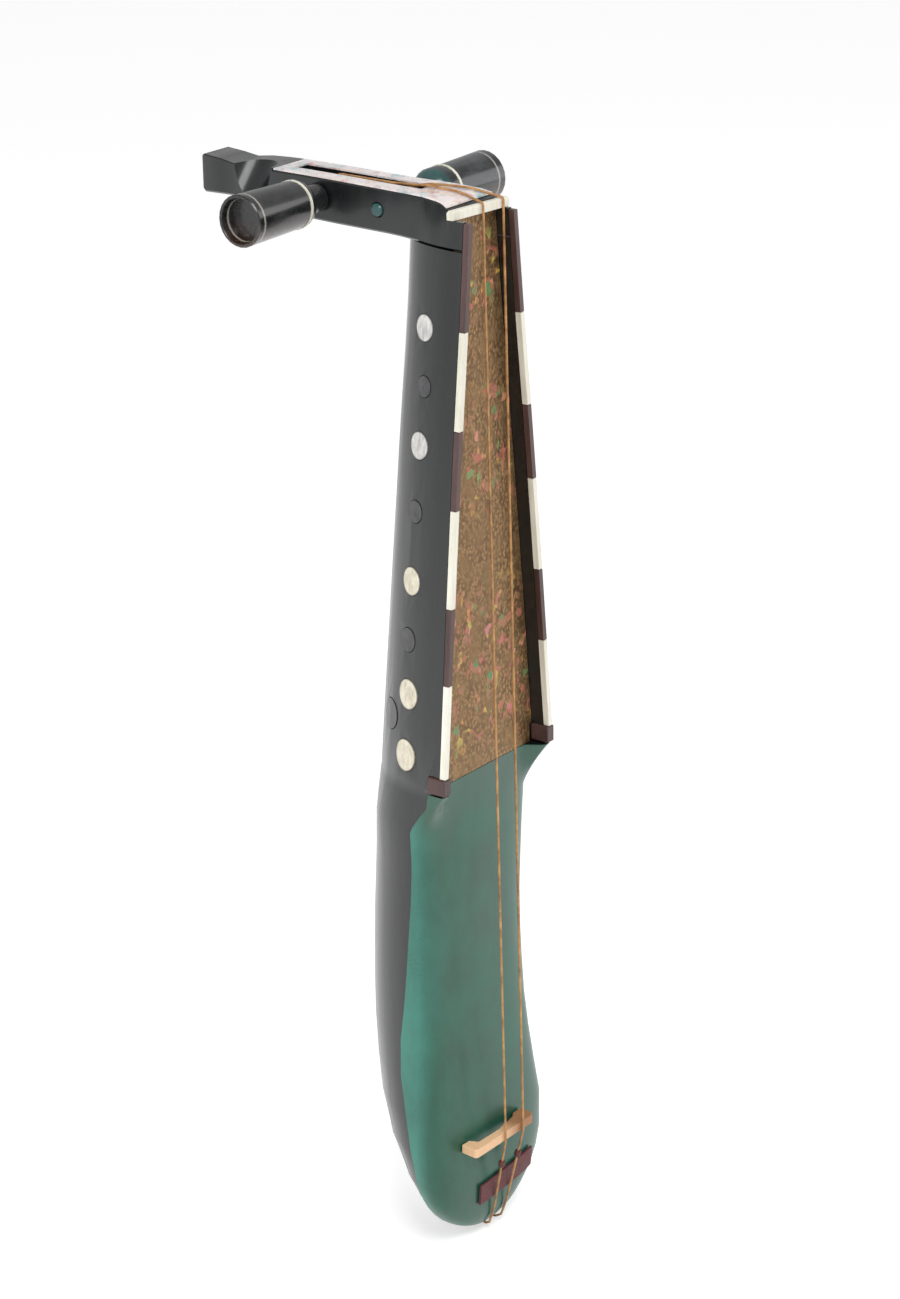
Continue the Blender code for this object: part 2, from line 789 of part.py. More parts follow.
def head_ring(y, top):
    width = head_half_width(y)
    foot = head_foot_width(y)
    low = head_underside(y)
    soft = HEAD_EDGE
    outline = [(-foot + soft, low), (foot - soft, low), (foot, low + soft), (width, top - soft * 0.5),
               (width - soft * 0.5, top), (-width + soft * 0.5, top), (-width, top - soft * 0.5),
               (-foot, low + soft)]
    return [(x, y, z) for x, z in outline]


def head_stations():
    ys = [section[0] for section in HEAD_SECTIONS]
    extra = [0.0160, 0.0200, 0.0260, 0.0350, 0.0450, 0.0650, 0.1000, 0.1250]
    return sorted(ys + extra)


def peg_axis(peg):
    return Vector((0.0, peg["y"], peg["z"]))


def peg_hole(peg):
    """The tapered hole through both walls, a turning clearance wider than the peg."""
    grow = TURN_GAP
    profile = [(-0.03, 0.0), (-0.03, PEG_TIP_RADIUS + grow), (-PEG_TIP, PEG_TIP_RADIUS + grow),
               (COLLAR_START, PEG_WALL_RADIUS + grow), (0.03, PEG_WALL_RADIUS + grow), (0.03, 0.0)]
    return turned("peg_hole", profile, peg_axis(peg), (peg["side"], 0.0, 0.0), PEG_SIDES, ebonised_wood())


def slot_box(name, grow, low, high):
    return box(name, (SLOT_LEFT - grow, SLOT_START - grow, low),
               (SLOT_RIGHT + grow, SLOT_END + grow, high), ebonised_wood())


def scoop_tool():
    """An inclined cylinder that scoops the left side between pegbox and finial."""
    slope = math.radians(SCOOP_SLOPE)
    top = head_top(SCOOP_CENTRE)
    side = -head_half_width(SCOOP_CENTRE)
    centre = Vector((side, SCOOP_CENTRE, top - SCOOP_DEPTH + SCOOP_RADIUS / math.cos(slope)))
    direction = Vector((-math.cos(slope), 0.0, -math.sin(slope)))
    profile = [(-0.06, 0.0), (-0.06, SCOOP_RADIUS), (0.06, SCOOP_RADIUS), (0.06, 0.0)]
    return turned("scoop", profile, centre, direction, 40, ebonised_wood())


def nut_edge(x, back):
    """The nut's front edge line at x, moved back by a distance."""
    share = (x - NUT_LEFT) / (NUT_RIGHT - NUT_LEFT)
    return blend(NUT_FRONT_LEFT, NUT_FRONT_RIGHT, share) + back


def nut_seat_tool():
    left = -0.03
    right = 0.03
    back = NUT_WIDTH + FIT_GAP
    low = [(left, -0.02, NUT_BASE - FIT_GAP), (right, -0.02, NUT_BASE - FIT_GAP),
           (right, nut_edge(right, back), NUT_BASE - FIT_GAP), (left, nut_edge(left, back), NUT_BASE - FIT_GAP)]
    high = [(x, y, z + 0.02) for x, y, z in low]
    return loft("nut_seat", [low, high], ebonised_wood())


def dowel_tool(low, high):
    profile = [(0.0, 0.0), (0.0, DOWEL_RADIUS + FIT_GAP), (high - low, DOWEL_RADIUS + FIT_GAP),
               (high - low, 0.0)]
    return turned("dowel_hole", profile, (0.0, DOWEL_Y, low), (0.0, 0.0, 1.0), 20, ebonised_wood())


def build_head_block():
    veneer = VENEER_THICKNESS + FIT_GAP

    def top(y):
        return head_top(y) - (veneer if y <= VENEER_END + FIT_GAP else 0.0)

    ys = head_stations()
    step = VENEER_END + FIT_GAP
    rings = [head_ring(y, top(y)) for y in ys if y < step]
    rings.append(head_ring(step, head_top(step) - veneer))
    rings.append(head_ring(step + 0.0002, head_top(step)))
    rings.extend(head_ring(y, top(y)) for y in ys if y > step + 0.0002)
    head = loft("head_block", rings, ebonised_wood())
    heights = [NECK_TOP - 0.01, NECK_TOP, NUT_BASE, NUT_BASE + 0.02]
    cut(head, front_tool("head_recess", heights, RIM_WIDTH, recess_back))
    cut(head, nut_seat_tool())
    slot_floor = head_top(SLOT_START) - SLOT_DEPTH
    cut(head, slot_box("slot", 0.0, slot_floor, head_top(SLOT_END) + 0.01))
    for peg in (LEFT_PEG, RIGHT_PEG):
        cut(head, peg_hole(peg))
    cut(head, scoop_tool())
    cut(head, dowel_tool(NECK_TOP - 0.002, NECK_TOP + DOWEL_DEPTH))
    return head


def build_dowel():
    length = 2.0 * DOWEL_DEPTH - 2.0 * FIT_GAP
    low = NECK_TOP - DOWEL_DEPTH + FIT_GAP
    profile = [(0.0, 0.0), (0.0, DOWEL_RADIUS), (length, DOWEL_RADIUS), (length, 0.0)]
    return turned("head_dowel", profile, (0.0, DOWEL_Y, low), (0.0, 0.0, 1.0), 20, brown_wood())


def build_veneer():
    ys = [VENEER_START] + [y for y in head_stations() if VENEER_START + 0.001 < y < VENEER_END] + [VENEER_END]
    rings = []
    for y in ys:
        width = head_half_width(y) - 0.0004
        top = head_top(y)
        rings.append([(-width, y, top), (width, y, top), (width, y, top - VENEER_THICKNESS),
                      (-width, y, top - VENEER_THICKNESS)])
    veneer = loft("head_veneer", rings, shell_veneer())
    cut(veneer, slot_box("veneer_slot", 0.0, head_top(SLOT_START) - 0.01, head_top(SLOT_END) + 0.01))
    cut(veneer, scoop_tool())
    return veneer


def build_nut():
    crown = NUT_BASE + NUT_HEIGHT
    edge = 0.0009

    def outline(x):
        front = nut_edge(x, 0.0)
        back = nut_edge(x, NUT_WIDTH)
        return [(x, front, NUT_BASE), (x, front, crown - edge), (x, front + edge * 0.4, crown - edge * 0.35),
                (x, front + edge, crown), (x, back - edge, crown), (x, back, crown - edge), (x, back, NUT_BASE)]

    xs = [NUT_LEFT, NUT_LEFT + 0.0006, NUT_RIGHT - 0.0006, NUT_RIGHT]
    rings = [outline(x) for x in xs]
    for index in (0, 3):
        rings[index] = [(x, y, min(z, crown - 0.0005)) for x, y, z in rings[index]]
        middle = nut_edge(rings[index][0][0], NUT_WIDTH / 2)
        rings[index] = [(x, blend(middle, y, 0.85), z) for x, y, z in rings[index]]
    return loft("nut", rings, bone())


def peg_profile(peg):
    """Distance and radius along the peg from its tip to the rim of its hollow head."""
    barrel = peg["barrel"]
    end = peg["end"]
    ring = peg["ring"]
    seat = HEAD_INNER_RADIUS - RING_SEAT
    half = RING_WIDTH / 2 + FIT_GAP
    return [
        (-PEG_TIP, 0.0), (-PEG_TIP, PEG_TIP_RADIUS - 0.0004), (-PEG_TIP + 0.0005, PEG_TIP_RADIUS),
        (COLLAR_START, PEG_WALL_RADIUS), (COLLAR_START, COLLAR_RADIUS - 0.0004),
        (COLLAR_START + 0.0005, COLLAR_RADIUS), (COLLAR_END, COLLAR_RADIUS),
        (COLLAR_END + 0.0004, HEAD_INNER_RADIUS - 0.0036), (blend(COLLAR_END, barrel, 0.5), HEAD_INNER_RADIUS - 0.0012),
        (barrel, HEAD_INNER_RADIUS), (ring - half, HEAD_INNER_RADIUS), (ring - half, seat),
        (ring + half, seat), (ring + half, HEAD_INNER_RADIUS),
        (end - 0.0006, HEAD_OUTER_RADIUS), (end, HEAD_OUTER_RADIUS - 0.0005),
        (end, CUP_RADIUS + 0.0003), (end - 0.0004, CUP_RADIUS), (end - CUP_DEPTH, CUP_RADIUS - 0.0008),
        (end - CUP_DEPTH, 0.0),
    ]


def build_peg(peg, label):
    """A peg with its origin on its own axis, its inlaid ring and its string winding."""
    axis = peg_axis(peg)
    direction = (peg["side"], 0.0, 0.0)
    pivot = bpy.data.objects.new(f"pivot_{label}", None)
    pivot.location = axis
    bpy.context.scene.collection.objects.link(pivot)
    body = turned(f"peg_{label}", peg_profile(peg), (0, 0, 0), direction, PEG_SIDES, ebonised_wood())
    ring = peg["ring"]
    half = RING_WIDTH / 2
    inner = HEAD_INNER_RADIUS - RING_SEAT + FIT_GAP
    outer = HEAD_INNER_RADIUS + 0.0003
    profile = [(ring - half, inner), (ring + half, inner), (ring + half, outer), (ring - half, outer)]
    band = ring_piece(f"peg_ring_{label}", (0, 0, 0), direction, profile, PEG_SIDES, bone())
    winding = tube(f"winding_{label}", winding_points(peg), STRING_RADIUS, gut(), 1)
    for obj in (body, band, winding):
        obj.parent = pivot
    return pivot


def shaft_radius(peg, x):
    """Radius of the tapered shaft at world x."""
    distance = x * peg["side"]
    share = (distance + PEG_TIP) / (COLLAR_START + PEG_TIP)
    return blend(PEG_TIP_RADIUS, PEG_WALL_RADIUS, share)


def winding_radius(peg):
    widest = max(shaft_radius(peg, SLOT_LEFT), shaft_radius(peg, SLOT_RIGHT))
    return widest / math.cos(math.pi / PEG_SIDES) + FIT_GAP + STRING_RADIUS


def winding_points(peg):
    """Turns of string round the shaft, in the pivot's frame, across the slot's middle."""
    radius = winding_radius(peg)
    middle = (SLOT_LEFT + SLOT_RIGHT) / 2
    width = WINDING_TURNS * WINDING_PITCH
    points = []
    for k in range(WINDING_TURNS * WINDING_POINTS + 1):
        share = k / (WINDING_TURNS * WINDING_POINTS)
        angle = math.radians(WINDING_START) - 2.0 * math.pi * WINDING_TURNS * share
        x = middle + (share - 0.5) * width * peg["side"]
        points.append(Vector((x, radius * math.cos(angle), radius * math.sin(angle))))
    return points


def least_gap(points, radius):
    """The least gap between a coil's turns, measured between its points."""
    least = 1.0
    for i, point in enumerate(points):
        for other in points[i + WINDING_POINTS // 2:]:
            least = min(least, (point - other).length - 2.0 * radius)
    return least


def string_route(at_nut, at_bridge, at_stern, peg, depth_on_pin):
    """Points of one string from the tail pin to the peg."""
    r = STRING_RADIUS
    clear = r + FIT_GAP
    bridge_y = BRIDGE_TOP_Y - clear
    bridge_z = BRIDGE_FOOT + BRIDGE_THICKNESS / 2
    nut_front = nut_edge(at_nut, 0.0) - clear
    crown = NUT_BASE + NUT_HEIGHT + clear
    stern = Section(0.004)
    side = 1 if at_stern > 0 else -1
    points = tail_loop(side, depth_on_pin)
    points.append(Vector((at_stern * 0.45, 0.0185, -clear - 0.0003)))
    points.append(Vector((at_stern * 0.80, 0.0100, -clear - 0.0002)))
    points.append(Vector((at_stern * 0.93, belly_front(0.0012) - clear - 0.0006, 0.0002)))
    points.append(Vector((at_stern, stern.front_at(at_stern) - clear - 0.0002, 0.0040)))
    low = Section(0.0105).front_at(at_stern) - clear - 0.0006
    points.append(Vector((at_stern * 1.02, low, 0.0105)))
    points.append(Vector((at_bridge, bridge_y, bridge_z - 0.0022)))
    points.append(Vector((at_bridge, bridge_y, bridge_z + 0.0022)))
    points.append(Vector((at_nut, nut_front, crown - 0.0014)))
    points.append(Vector((at_nut, nut_front + 0.0006, crown - 0.0002)))
    points.append(Vector((at_nut * 0.98, nut_front + clear + 0.0012, crown + 0.0001)))
    slot_middle = (SLOT_LEFT + SLOT_RIGHT) / 2
    lane = slot_middle + (-0.0016 if peg is LEFT_PEG else 0.0016)
    for y in (0.0140, 0.0180, 0.0240, 0.0300, 0.0360):
        share = (y - 0.0060) / (0.0360 - 0.0060)
        x = blend(at_nut, lane, share)
        points.append(Vector((x, y, head_top(y) + clear + 0.0003)))
    points.extend(slot_route(peg, lane))
    return points


def slot_route(peg, lane):
    """The stretch from the slot's front edge to where the string lies on the winding."""
    clear = STRING_RADIUS + FIT_GAP
    radius = winding_radius(peg) + 2.0 * STRING_RADIUS + LAY_GAP
    angle = math.radians(WINDING_START)
    start_x = winding_points(peg)[0].x
    end = peg_axis(peg) + Vector((start_x, radius * math.cos(angle), radius * math.sin(angle)))
    lead = Vector((0.0, -math.sin(angle), math.cos(angle)))
    points = [Vector((lane, SLOT_START + 0.0010, head_top(SLOT_START) + clear))]
    if peg is LEFT_PEG:
        over = RIGHT_PEG["z"] + winding_radius(RIGHT_PEG) + 5.0 * clear
        points.append(Vector((lane, RIGHT_PEG["y"], over)))
    points.append(end + lead * 0.0025)
    points.append(end)
    return points


def pin_frame():
    """Base point and outward direction of the tail pin on the keel."""
    base = Vector((0.0, keel_depth(PIN_HEIGHT - stern_lift(PIN_HEIGHT)), PIN_HEIGHT))
    step = 0.002
    up = keel_depth(PIN_HEIGHT + step) - keel_depth(PIN_HEIGHT - step)
    along_keel = Vector((0.0, up, 2.0 * step)).normalized()
    outward = Vector((0.0, along_keel.z, -along_keel.y))
    return base, outward


def pin_tool():
    base, outward = pin_frame()
    radius = PIN_RADIUS + FIT_GAP
    profile = [(-PIN_SINK - FIT_GAP, 0.0), (-PIN_SINK - FIT_GAP, radius), (0.01, radius), (0.01, 0.0)]
    return turned("pin_hole", profile, base, outward, 20, ebonised_wood())


def build_tail_pin():
    base, outward = pin_frame()
    head = PIN_NECK
    profile = [(-PIN_SINK, 0.0), (-PIN_SINK, PIN_RADIUS), (head, PIN_RADIUS), (head, PIN_HEAD_RADIUS - 0.0004),
               (head + 0.0006, PIN_HEAD_RADIUS), (head + PIN_HEAD - 0.0010, PIN_HEAD_RADIUS),
               (head + PIN_HEAD, PIN_HEAD_RADIUS * 0.6), (head + PIN_HEAD, 0.0)]
    return turned("tail_pin", profile, base, outward, 20, brown_wood())


def tail_loop(side, depth):
    """Half a turn round the pin's neck, starting behind it."""
    base, outward = pin_frame()
    across = Vector((1.0, 0.0, 0.0))
    down = outward.cross(across).normalized()
    if down.z > 0.0:
        down = -down
    radius = PIN_RADIUS / math.cos(math.pi / 20) + STRING_RADIUS + FIT_GAP
    centre = base + outward * depth
    points = []
    for k in range(7):
        angle = math.radians(170.0 - 28.0 * k)
        points.append(centre + across * side * radius * math.sin(angle) + down * radius * math.cos(angle))
    return points


def build_strings():
    left = string_route(LEFT_AT_NUT, LEFT_AT_BRIDGE, LEFT_AT_STERN, LEFT_PEG, 0.0014)
    right = string_route(RIGHT_AT_NUT, RIGHT_AT_BRIDGE, RIGHT_AT_STERN, RIGHT_PEG, 0.0034)
    tube("string_left", left, STRING_RADIUS, gut())
    tube("string_right", right, STRING_RADIUS, gut())


def string_point(at_bridge, at_stern, z):
    """Where a string runs at height z between the stern and the bridge."""
    low = Section(0.0105).front_at(at_stern) - STRING_RADIUS - FIT_GAP - 0.0006
    bottom = Vector((at_stern * 1.02, low, 0.0105))
    bridge_y = BRIDGE_TOP_Y - STRING_RADIUS - FIT_GAP
    top = Vector((at_bridge, bridge_y, BRIDGE_FOOT + BRIDGE_THICKNESS / 2 - 0.0022))
    share = (z - bottom.z) / (top.z - bottom.z)
    return bottom.lerp(top, share), (top - bottom).normalized()


def build_knots():
    hole = STRING_RADIUS / math.cos(math.pi / 8) + FIT_GAP
    for label, at_bridge, at_stern in (("left", LEFT_AT_BRIDGE, LEFT_AT_STERN),
                                       ("right", RIGHT_AT_BRIDGE, RIGHT_AT_STERN)):
        place, direction = string_point(at_bridge, at_stern, KNOT_HEIGHT)
        profile = [(-KNOT_RADIUS, hole), (-KNOT_RADIUS, hole + 0.0004), (-KNOT_RADIUS * 0.5, KNOT_RADIUS),
                   (KNOT_RADIUS * 0.5, KNOT_RADIUS), (KNOT_RADIUS, hole + 0.0004), (KNOT_RADIUS, hole)]
        ring_piece(f"string_knot_{label}", place, direction, profile, 12, red_leather())


def build_bridge():
    """A flat reed bridge: two feet on the skin and an uneven arch between them."""
    low = BRIDGE_FOOT
    high = BRIDGE_FOOT + BRIDGE_THICKNESS

    def skin_at(x):
        return min(Section(low).front_at(x), Section(high).front_at(x)) - FIT_GAP

    underside = [(BRIDGE_LEFT, 0.0)] + list(BRIDGE_ARCH) + [(BRIDGE_RIGHT, 0.0)]
    outline = []
    for x, lift in underside:
        foot = BRIDGE_LEFT if x < 0.0 else BRIDGE_ARCH[-1][0]
        base = min(skin_at(x), skin_at(foot)) if lift == 0.0 else skin_at(x)
        outline.append((x, base - lift))
    outline.append((BRIDGE_RIGHT - 0.0006, BRIDGE_TOP_Y + 0.0022))
    outline.append((BRIDGE_RIGHT - 0.0030, BRIDGE_TOP_Y))
    outline.append((BRIDGE_LEFT + 0.0006, BRIDGE_TOP_Y))
    outline.append((BRIDGE_LEFT - 0.0010, BRIDGE_TOP_Y + 0.0010))
    rings = [[(x, y, z) for x, y in outline] for z in (low, high)]
    return bevelled(loft("bridge", rings, reed()), 0.0003)


def build_tail_patch():
    """A leather strip glued across the belly under the strings."""
    outer = []
    inner = []
    for i in range(5):
        row_out = []
        row_in = []
        for k in range(13):
            share = k / 12
            x = blend(PATCH_LEFT, PATCH_RIGHT, share)
            z = PATCH_FOOT + PATCH_RISE * share + PATCH_HEIGHT * i / 4
            y = Section(z).front_at(x) - FIT_GAP - 0.0001
            row_out.append(Vector((x, y - PATCH_THICKNESS, z)))
            row_in.append(Vector((x, y, z)))
        outer.append(row_out)
        inner.append(row_in)
    return shell_sheet("tail_patch", outer, inner, red_leather())


def shade(obj):
    if obj.type == "MESH":
        obj.data.shade_smooth()
        obj.data.set_sharp_from_angle(angle=math.radians(35.0))


def main():
    clear_scene()
    build_body_shell()
    build_rim(-1, "left")
    build_rim(1, "right")
    build_discs()
    build_sound_plate()
    build_belly_skin()
    build_head_block()
    build_dowel()
    build_veneer()
    build_nut()
    build_peg(LEFT_PEG, "left")
    build_peg(RIGHT_PEG, "right")
    build_strings()
    build_knots()
    build_bridge()
    build_tail_pin()
    build_tail_patch()
    for obj in bpy.context.scene.collection.objects:
        shade(obj)
    for label, peg in (("left", LEFT_PEG), ("right", RIGHT_PEG)):
        gap = least_gap(winding_points(peg), STRING_RADIUS)
        print(f"winding_{label}: {WINDING_TURNS} turns, least gap to itself {gap * 1000:.2f} mm")


if __name__ == "__main__":
    main()
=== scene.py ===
"""Dresses the rebab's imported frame: finishes, smoothed pieces, studio and camera."""

from __future__ import annotations

import json
import logging
import math
from dataclasses import dataclass, field
from enum import Enum

import bmesh
import bpy
from mathutils import Matrix, Vector


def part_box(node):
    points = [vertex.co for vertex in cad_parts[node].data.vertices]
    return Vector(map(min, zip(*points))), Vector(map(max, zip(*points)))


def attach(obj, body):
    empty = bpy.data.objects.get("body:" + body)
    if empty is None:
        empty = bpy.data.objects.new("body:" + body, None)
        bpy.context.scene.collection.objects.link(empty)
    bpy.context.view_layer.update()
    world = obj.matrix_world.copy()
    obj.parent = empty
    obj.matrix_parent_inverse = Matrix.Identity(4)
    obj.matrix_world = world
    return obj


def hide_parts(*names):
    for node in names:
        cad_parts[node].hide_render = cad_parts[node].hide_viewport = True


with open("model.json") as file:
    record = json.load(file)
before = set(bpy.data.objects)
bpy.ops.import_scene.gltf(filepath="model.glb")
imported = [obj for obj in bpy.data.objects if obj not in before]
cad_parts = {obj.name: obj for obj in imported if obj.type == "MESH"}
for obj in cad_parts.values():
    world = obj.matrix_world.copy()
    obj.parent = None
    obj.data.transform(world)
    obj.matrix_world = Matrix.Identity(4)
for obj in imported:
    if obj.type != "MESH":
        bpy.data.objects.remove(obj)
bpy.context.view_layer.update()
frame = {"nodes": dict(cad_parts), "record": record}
LOG = logging.getLogger("rebab")

Colour = tuple[float, float, float]

NOISE_SPAN = (0.3, 0.7)
CLOUD_SPAN = (0.35, 0.70)
GRAIN_STRETCH = 0.12
BROAD_SCALE = 0.18
FINE_SHARE = 0.45
PALE_DISC_HEIGHT = 0.38
PEG_LINE = 0.0655
DOT_EDGE = (0.0007, 0.0010)
SMOOTHED = ("body_shell", "belly_skin", "head_block", "peg_", "winding", "string_", "tail_pin")
SHARP_ANGLE = math.radians(32.0)
MERGE_DISTANCE = 0.000002


class Grain(Enum):
    """How the small relief of a finish is laid out."""

    ALONG = "along"
    SPECKLED = "speckled"
    CELLS = "cells"


class Layers:
    """Small helper that adds shader nodes to one material."""

    def __init__(self, name: str) -> None:
        """Start an empty node material.

        Args:
            name: the material's name.
        """
        self.material = bpy.data.materials.new(name)
        self.material.use_nodes = True
        self.tree = self.material.node_tree
        self.shader = self.tree.nodes["Principled BSDF"]
        coordinates = self.tree.nodes.new("ShaderNodeTexCoord")
        self.place = coordinates.outputs["Object"]

    def link(self, start: bpy.types.NodeSocket, end: bpy.types.NodeSocket) -> None:
        """Join two sockets.

        Args:
            start: the output.
            end: the input.
        """
        self.tree.links.new(start, end)

    def scaled(self, scale: Colour) -> bpy.types.NodeSocket:
        """Stretch the object's coordinates.

        Args:
            scale: factor along each axis.

        Returns:
            The mapped coordinates.
        """
        mapping = self.tree.nodes.new("ShaderNodeMapping")
        mapping.inputs["Scale"].default_value = scale
        self.link(self.place, mapping.inputs["Vector"])
        return mapping.outputs["Vector"]

    def noise(self, place: bpy.types.NodeSocket, scale: float, detail: float = 4.0,
              rough: float = 0.55) -> bpy.types.NodeSocket:
        """Add a noise texture.

        Args:
            place: coordinates to read.
            scale: size of the pattern.
            detail: number of octaves.
            rough: share of the finer octaves.

        Returns:
            The noise value.
        """
        node = self.tree.nodes.new("ShaderNodeTexNoise")
        node.inputs["Scale"].default_value = scale
        node.inputs["Detail"].default_value = detail
        node.inputs["Roughness"].default_value = rough
        self.link(place, node.inputs["Vector"])
        return node.outputs["Fac"]

    def cells(self, place: bpy.types.NodeSocket, scale: float,
              output: str = "Distance") -> bpy.types.NodeSocket:
        """Add a Voronoi texture.

        Args:
            place: coordinates to read.
            scale: cells per metre.
            output: which of its outputs to use.

        Returns:
            The chosen output.
        """
        node = self.tree.nodes.new("ShaderNodeTexVoronoi")
        node.inputs["Scale"].default_value = scale
        self.link(place, node.inputs["Vector"])
        return node.outputs[output]

    def ramp(self, factor: bpy.types.NodeSocket,
             stops: tuple[tuple[float, Colour], ...]) -> bpy.types.NodeSocket:
        """Turn a value into colour through a ramp.

        Args:
            factor: the value.
            stops: positions and colours.

        Returns:
            The colour.
        """
        node = self.tree.nodes.new("ShaderNodeValToRGB")
        ramp = node.color_ramp
        while len(ramp.elements) < len(stops):
            ramp.elements.new(0.5)
        for element, (place, colour) in zip(ramp.elements, stops):
            element.position = place
            element.color = (*colour, 1.0)
        self.link(factor, node.inputs["Fac"])
        return node.outputs["Color"]

    def span(self, value: bpy.types.NodeSocket, low: float, high: float,
             start: float = 0.0, end: float = 1.0) -> bpy.types.NodeSocket:
        """Map a value from one range to another, clamped.

        Args:
            value: the value.
            low: start of the input range.
            high: end of the input range.
            start: output at low.
            end: output at high.

        Returns:
            The mapped value.
        """
        node = self.tree.nodes.new("ShaderNodeMapRange")
        node.inputs["From Min"].default_value = low
        node.inputs["From Max"].default_value = high
        node.inputs["To Min"].default_value = start
        node.inputs["To Max"].default_value = end
        self.link(value, node.inputs["Value"])
        return node.outputs["Result"]

    def sum_up(self, operation: str, first: bpy.types.NodeSocket,
               second: bpy.types.NodeSocket | float) -> bpy.types.NodeSocket:
        """Combine two values.

        Args:
            operation: name of the Math operation.
            first: a value.
            second: a value or number.

        Returns:
            The result.
        """
        node = self.tree.nodes.new("ShaderNodeMath")
        node.operation = operation
        self.link(first, node.inputs[0])
        if isinstance(second, float):
            node.inputs[1].default_value = second
        else:
            self.link(second, node.inputs[1])
        return node.outputs["Value"]

    def weighted(self, value: bpy.types.NodeSocket, weight: float,
                 base: bpy.types.NodeSocket) -> bpy.types.NodeSocket:
        """Add a share of one value to another.

        Args:
            value: the value that is weighted.
            weight: its share.
            base: the value that it is added to.

        Returns:
            The sum.
        """
        total = self.sum_up("MULTIPLY_ADD", value, weight)
        self.link(base, total.node.inputs[2])
        return total

    def part(self, axis: str) -> bpy.types.NodeSocket:
        """One coordinate of the object's place.

        Args:
            axis: X, Y or Z.

        Returns:
            The coordinate.
        """
        node = self.tree.nodes.new("ShaderNodeSeparateXYZ")
        self.link(self.place, node.inputs["Vector"])
        return node.outputs[axis]

    def mix(self, factor: bpy.types.NodeSocket, first: bpy.types.NodeSocket | Colour,
            second: bpy.types.NodeSocket | Colour) -> bpy.types.NodeSocket:
        """Mix two colours.

        Args:
            factor: share of the second colour.
            first: a colour or socket.
            second: a colour or socket.

        Returns:
            The mixed colour.
        """
        node = self.tree.nodes.new("ShaderNodeMix")
        node.data_type = "RGBA"
        self.link(factor, node.inputs["Factor"])
        for name, value in (("A", first), ("B", second)):
            colours = [entry for entry in node.inputs if entry.type == "RGBA"]
            socket = next(entry for entry in colours if entry.name == name)
            if isinstance(value, tuple):
                socket.default_value = (*value, 1.0)
            else:
                self.link(value, socket)
        return next(entry for entry in node.outputs if entry.type == "RGBA")

    def relief(self, height: bpy.types.NodeSocket, strength: float, depth: float) -> None:
        """Drive the surface's bump from a height.

        Args:
            height: height between 0 and 1.
            strength: how strongly it shows.
            depth: real depth in metres.
        """
        bump = self.tree.nodes.new("ShaderNodeBump")
        bump.inputs["Strength"].default_value = strength
        bump.inputs["Distance"].default_value = depth
        self.link(height, bump.inputs["Height"])
        self.link(bump.outputs["Normal"], self.shader.inputs["Normal"])

    def set(self, name: str, value: bpy.types.NodeSocket | float) -> None:
        """Give the shader a value or a link.

        Args:
            name: the shader's socket.
            value: a number or an output.
        """
        if isinstance(value, float):
            self.shader.inputs[name].default_value = value
        else:
            self.link(value, self.shader.inputs[name])


@dataclass(frozen=True)
class Finish:
    """A finish with mottled colour, varied gloss and fine relief.

    Attributes:
        name: the material's name.
        dark: colour of the low parts.
        light: colour of the high parts.
        rough: least and greatest roughness.
        grain: how the relief is laid out.
        scale: pattern size, per metre.
        depth: relief depth in metres.
        metallic: 1 for metal.
        coat: gloss of the polish.
    """

    name: str
    dark: Colour
    light: Colour
    rough: tuple[float, float]
    grain: Grain
    scale: float
    depth: float
    metallic: float = 0.0
    coat: float = 0.0

    def build(self) -> bpy.types.Material:
        """Make the node material.

        Returns:
            The material.
        """
        layers = Layers(self.name)
        stretch = (1.0, 1.0, GRAIN_STRETCH) if self.grain is Grain.ALONG else (1.0, 1.0, 1.0)
        place = layers.scaled(stretch)
        if self.grain is Grain.CELLS:
            fine = layers.span(layers.cells(place, self.scale), 0.0, 0.6)
        else:
            fine = layers.noise(place, self.scale, 6.0, 0.6)
        broad = layers.noise(place, self.scale * BROAD_SCALE, 3.0)
        share = layers.span(layers.weighted(fine, FINE_SHARE, broad), 0.45, 0.95)
        layers.set("Base Color", layers.mix(share, self.dark, self.light))
        layers.set("Roughness", layers.span(broad, *NOISE_SPAN, *self.rough))
        layers.set("Metallic", self.metallic)
        layers.set("Coat Weight", self.coat)
        layers.set("Coat Roughness", 0.15)
        layers.relief(fine, 0.5, self.depth)
        return layers.material


EBONISED = Finish("ebonised_wood_polish", (0.0030, 0.0036, 0.0040), (0.011, 0.013, 0.014),
                  (0.22, 0.38), Grain.ALONG, 420.0, 0.00012, coat=0.35)
BROWN = Finish("brown_wood_oil", (0.030, 0.014, 0.013), (0.105, 0.052, 0.046), (0.35, 0.55),
               Grain.ALONG, 600.0, 0.00012, coat=0.10)
BONE = Finish("bone_polish", (0.60, 0.56, 0.44), (0.93, 0.91, 0.80), (0.25, 0.42),
              Grain.ALONG, 500.0, 0.00006, coat=0.20)
HORN = Finish("horn_polish", (0.022, 0.022, 0.026), (0.085, 0.082, 0.086), (0.25, 0.42),
              Grain.SPECKLED, 500.0, 0.00008, coat=0.20)
GUT = Finish("gut_twist", (0.20, 0.085, 0.030), (0.62, 0.33, 0.12), (0.35, 0.55),
             Grain.SPECKLED, 900.0, 0.00005)
LEATHER = Finish("red_leather_worn", (0.030, 0.008, 0.010), (0.145, 0.040, 0.042), (0.50, 0.80),
                 Grain.CELLS, 1400.0, 0.00020)


